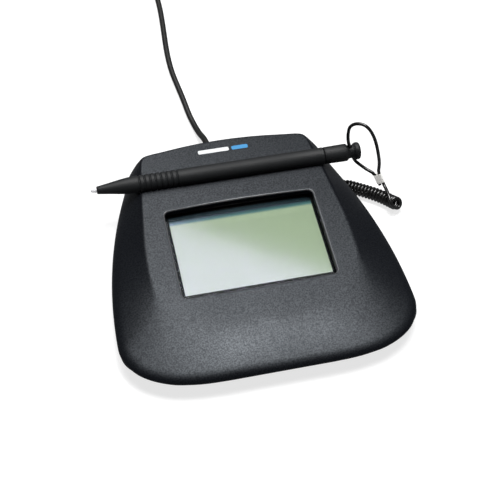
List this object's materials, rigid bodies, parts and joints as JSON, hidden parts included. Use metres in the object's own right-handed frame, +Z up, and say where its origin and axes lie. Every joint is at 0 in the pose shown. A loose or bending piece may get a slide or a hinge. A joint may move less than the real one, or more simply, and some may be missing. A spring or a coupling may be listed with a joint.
{
  "type": "signature capture pad",
  "caption": "Low desktop pad with a recessed monochrome display that is written on, a stylus lying in a rest behind it on a curly tether, and a thin cord with a plug.",
  "frame": {"origin": "on the resting surface, under the middle of the pad's footprint", "axes": "+X to the user's right along the stylus, +Y away from the user towards the cord, +Z up"},
  "size_m": [0.1669, 0.3605, 0.0481],
  "materials": {
    "housing_black": "fine spark-eroded texture, satin",
    "screw_steel": "zinc plated",
    "foot_rubber": "matt",
    "plate_silver": "blank satin polyester plate",
    "gasket_foam": "closed-cell foam",
    "clear_glass": "hard-coated, polished",
    "sensor_film": "clear film",
    "bezel_steel": "folded sheet",
    "lcd_green": "grey-green reflective display",
    "guide_white": "milky light guide",
    "board_green": "solder resist",
    "chip_black": "moulded epoxy",
    "component_tan": "ceramic and plated ends",
    "header_white": "nylon",
    "ribbon_amber": "polyimide film",
    "wire_insulation": "PVC",
    "cord_black": "satin PVC jacket",
    "tie_black": "hook and loop strap",
    "plug_steel": "nickel plated",
    "tongue_white": "moulded insulator",
    "contact_gold": "gold flash",
    "tether_black": "glossy polyurethane jacket",
    "ferrule_silver": "crimped",
    "stylus_black": "soft-touch coating",
    "nib_white": "acetal",
    "pin_steel": "turned",
    "core_grey": "moulded"
  },
  "bodies": {
    "base": {"top_housing": "housing_black", "bottom_housing": "housing_black", "housing_screws": "screw_steel", "rubber_feet": "foot_rubber", "rating_plate": "plate_silver", "display_gasket": "gasket_foam", "touch_glass": "clear_glass", "touch_sensor": "sensor_film", "lcd_frame": "bezel_steel", "lcd_panel": "lcd_green", "light_guide": "guide_white", "display_board": "board_green", "display_screws": "screw_steel", "main_board": "board_green", "controller_chips": "chip_black", "small_components": "component_tan", "board_screws": "screw_steel", "cord_header": "header_white", "display_ribbon": "ribbon_amber", "touch_ribbon": "ribbon_amber", "cord_gland": "cord_black", "cord_wires": "wire_insulation", "usb_cord": "cord_black", "usb_cord_coil": "cord_black", "usb_cord_tail": "cord_black", "cord_tie": "tie_black", "usb_plug_grip": "cord_black", "usb_plug_shell": "plug_steel", "usb_plug_tongue": "tongue_white", "usb_plug_contacts": "contact_gold", "tether_anchor": "tether_black", "tether_coil": "tether_black", "tether_lead": "tether_black"},
    "stylus_end": {"stylus_cap": "stylus_black", "stylus_swivel_pin": "pin_steel", "tether_ferrule": "ferrule_silver", "tether_loop": "tether_black"},
    "stylus": {"stylus_barrel": "stylus_black", "stylus_grip": "stylus_black", "stylus_core": "core_grey", "stylus_nib": "nib_white"}
  },
  "joints": [
    {"name": "stylus_lift", "type": "slide", "parent": "base", "child": "stylus_end", "axis": [0, 0, 1], "range_m": [0, 0.04]},
    {"name": "stylus_spin", "type": "hinge", "parent": "stylus_end", "child": "stylus", "pos_m": [0.0514, 0.0485, 0.0243], "axis": [1, 0, 0], "continuous": true}
  ]
}
